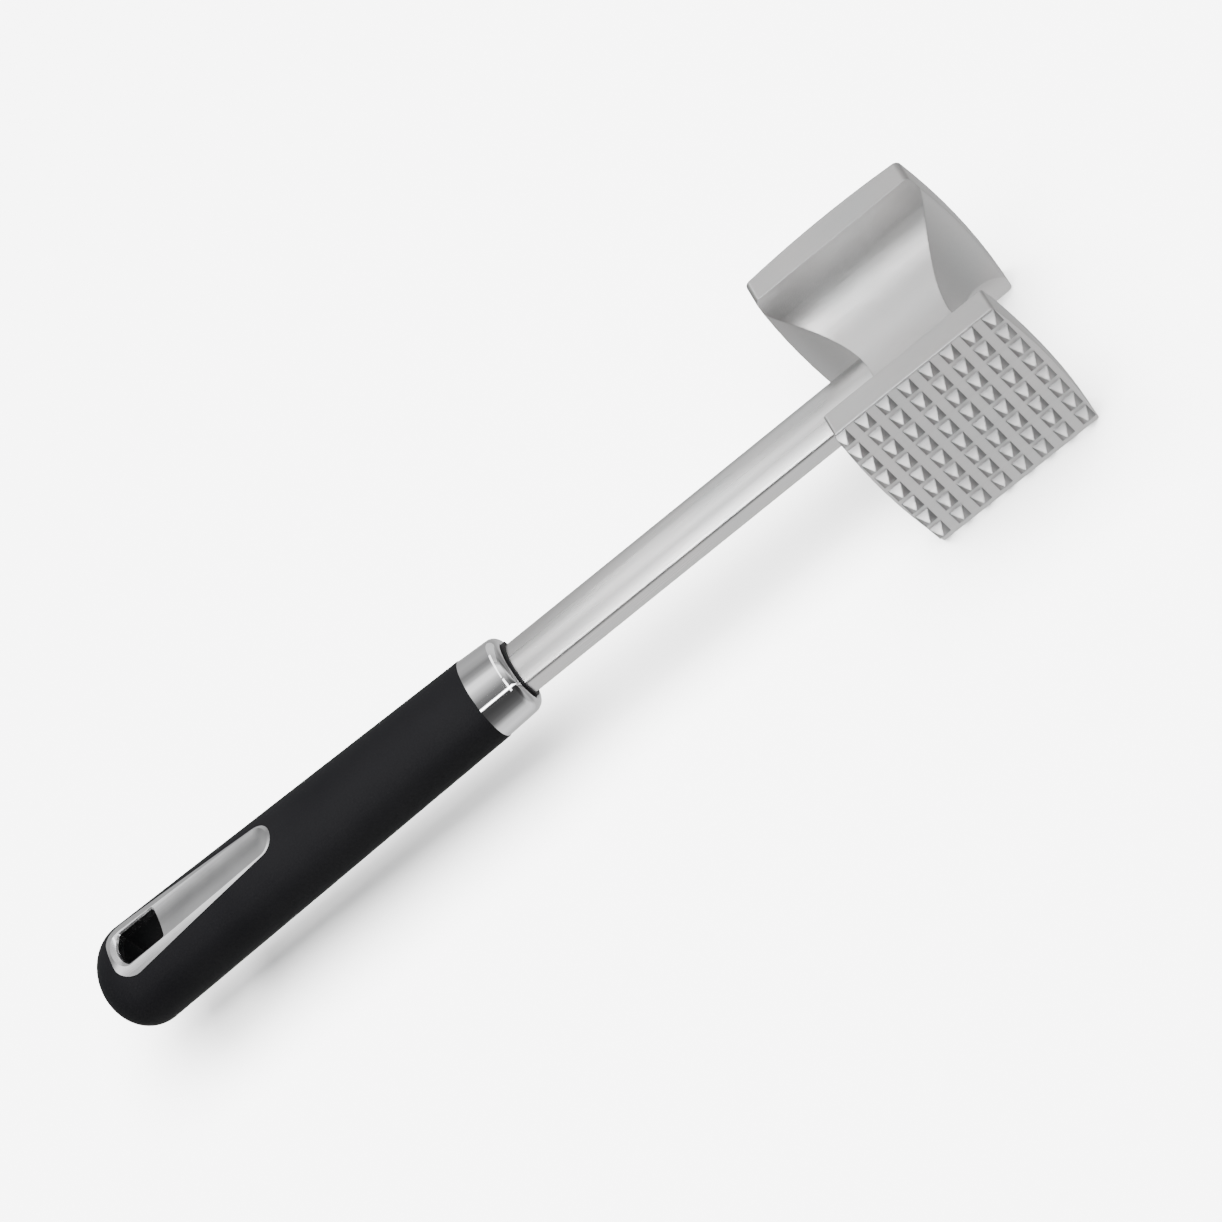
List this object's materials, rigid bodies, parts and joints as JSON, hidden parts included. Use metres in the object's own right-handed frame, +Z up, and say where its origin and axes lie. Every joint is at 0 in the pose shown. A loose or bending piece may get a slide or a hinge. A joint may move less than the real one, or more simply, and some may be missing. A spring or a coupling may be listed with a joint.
{
  "type": "meat mallet",
  "caption": "Hand meat mallet with a waisted cast head, toothed and smooth faces, flat shaft, chrome ferrule and black oval grip with a hanging hole.",
  "frame": {"origin": "centre of the bounding box's bottom, on the plane that the head's lower rims rest on when the mallet lies on its side", "axes": "+X along the handle from the butt to the head, +Z up along the head's width, -Y out of the toothed face and +Y out of the smooth face"},
  "size_m": [0.2672, 0.06, 0.047],
  "materials": {
    "casting": "satin, bead blasted and lightly brushed",
    "gasket": "matte",
    "polished": "mirror polish",
    "plate": "satin chrome",
    "grip": "matte soft touch",
    "core": "moulded",
    "liner": "moulded",
    "fastener": "plain"
  },
  "bodies": {
    "root": {"head_casting": "casting", "collar_gasket": "gasket", "ferrule": "polished", "grip_sleeve": "grip", "core_shell_upper": "core", "core_shell_lower": "core", "tang_pin": "fastener", "core_screws": "fastener", "hanger_plate_upper": "plate", "hanger_plate_lower": "plate", "hanger_liner": "liner"}
  },
  "joints": []
}
